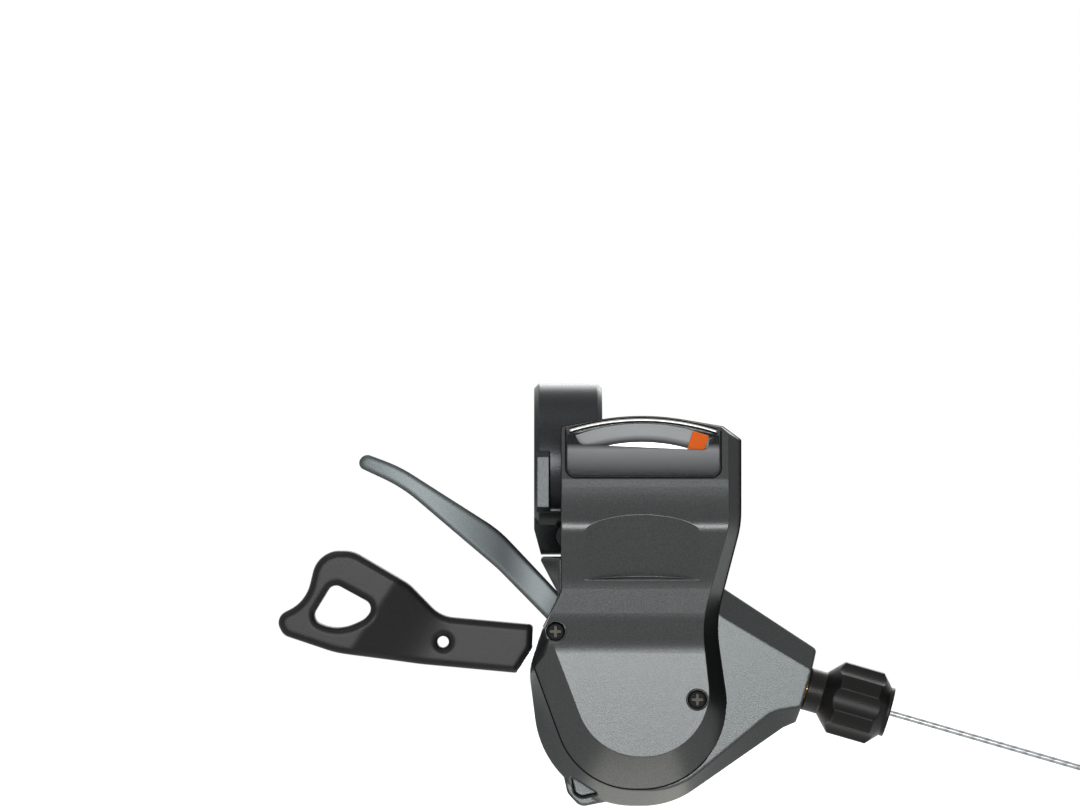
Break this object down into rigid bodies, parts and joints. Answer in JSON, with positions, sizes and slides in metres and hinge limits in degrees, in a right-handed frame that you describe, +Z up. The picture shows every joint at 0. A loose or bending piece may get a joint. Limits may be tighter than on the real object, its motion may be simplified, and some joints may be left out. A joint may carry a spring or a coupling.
{
  "type": "trigger gear shifter",
  "caption": "Handlebar gear shifter with a silver cover, gear window, thumb lever, release trigger, cable winder and barrel adjuster on a split bar clamp.",
  "frame": {"origin": "handlebar axis at the middle of the clamp band", "axes": "+X along the handlebar, towards the cable; +Z up in the picture's view; the cover faces -Y"},
  "size_m": [0.1923, 0.0503, 0.1124],
  "materials": {
    "cover_paint": "silver metallic paint on moulded plastic",
    "lens_clear": "clear moulded acrylic",
    "screw_black": "black oxide steel",
    "base_alloy": "dark grey coated die-cast alloy",
    "band_alloy": "grey anodised alloy",
    "bolt_steel": "zinc plated steel",
    "plate_steel": "pressed steel",
    "axle_steel": "turned steel",
    "spring_steel": "spring wire",
    "pad_plastic": "black moulded plastic",
    "release_metal": "grey metallic coating",
    "wheel_steel": "hardened steel",
    "drum_plastic": "natural acetal",
    "needle_orange": "orange moulded plastic",
    "scale_grey": "grey printed plate without text",
    "knob_plastic": "black moulded plastic",
    "adjuster_brass": "turned brass",
    "cable_steel": "bright stranded steel",
    "tie_plastic": "black strap"
  },
  "bodies": {
    "bracket": {"top_cover": "cover_paint", "display_lens": "lens_clear", "cover_screws": "screw_black", "base_housing": "base_alloy", "clamp_band": "band_alloy", "clamp_bolt": "bolt_steel", "saddle_screws": "bolt_steel", "rear_plate": "plate_steel", "plate_screws": "screw_black", "main_axle": "axle_steel", "axle_clip": "spring_steel", "thrust_spacer": "drum_plastic", "main_lever_spring": "spring_steel", "release_lever_spring": "spring_steel", "needle_pin": "axle_steel", "scale_plate": "scale_grey", "hold_pawl_pin": "axle_steel", "hold_pawl_spring": "spring_steel", "cable_lead": "cable_steel", "cable_free": "cable_steel", "cable_coil": "cable_steel", "cable_tie": "tie_plastic"},
    "main_lever": {"main_lever_arm": "plate_steel", "main_lever_pad": "pad_plastic", "pawl_carrier": "plate_steel", "drive_pawl": "wheel_steel", "drive_pawl_pin": "axle_steel", "drive_pawl_spring": "spring_steel"},
    "release_lever": {"release_lever": "release_metal"},
    "winder": {"cable_drum": "drum_plastic", "ratchet_wheel": "wheel_steel", "index_wheel": "wheel_steel", "display_cam": "drum_plastic", "cable_head": "cable_steel"},
    "needle": {"indicator_needle": "needle_orange"},
    "hold_pawl": {"hold_pawl": "wheel_steel"},
    "adjuster": {"adjuster_knob": "knob_plastic", "adjuster_bolt": "adjuster_brass"}
  },
  "joints": [
    {"name": "main_lever_press", "type": "hinge", "parent": "bracket", "child": "main_lever", "pos_m": [0.0115, 0, -0.0444], "axis": [0, -1, 0], "range_deg": [0, 40], "stiffness_Nm_per_rad": 0.15, "springref_deg": -28.65, "deforming": ["main_lever_spring"]},
    {"name": "release_lever_pull", "type": "hinge", "parent": "bracket", "child": "release_lever", "pos_m": [0.0115, 0, -0.0444], "axis": [0, 1, 0], "range_deg": [0, 8], "stiffness_Nm_per_rad": 0.1, "springref_deg": -22.92, "deforming": ["release_lever_spring"]},
    {"name": "winder_turn", "type": "hinge", "parent": "bracket", "child": "winder", "pos_m": [0.0115, 0, -0.0444], "axis": [0, -1, 0], "range_deg": [0, 135]},
    {"name": "needle_swing", "type": "hinge", "parent": "bracket", "child": "needle", "pos_m": [0.0146, 0, -0.031], "axis": [0, -1, 0], "range_deg": [0, 36.2]},
    {"name": "hold_pawl_lift", "type": "hinge", "parent": "bracket", "child": "hold_pawl", "pos_m": [0.0182, 0, -0.056], "axis": [0, -1, 0], "range_deg": [0, 6], "deforming": ["hold_pawl_spring"]},
    {"name": "adjuster_turn", "type": "hinge", "parent": "bracket", "child": "adjuster", "pos_m": [0.04788, -0.0184, -0.04564], "axis": [0.9608, 0, -0.2773], "continuous": true}
  ],
  "couplings": [
    {"joint": "needle_swing", "follows": "winder_turn", "ratio": 0.26815},
    {"joint": "hold_pawl_lift", "follows": "release_lever_pull", "ratio": 0.75}
  ]
}
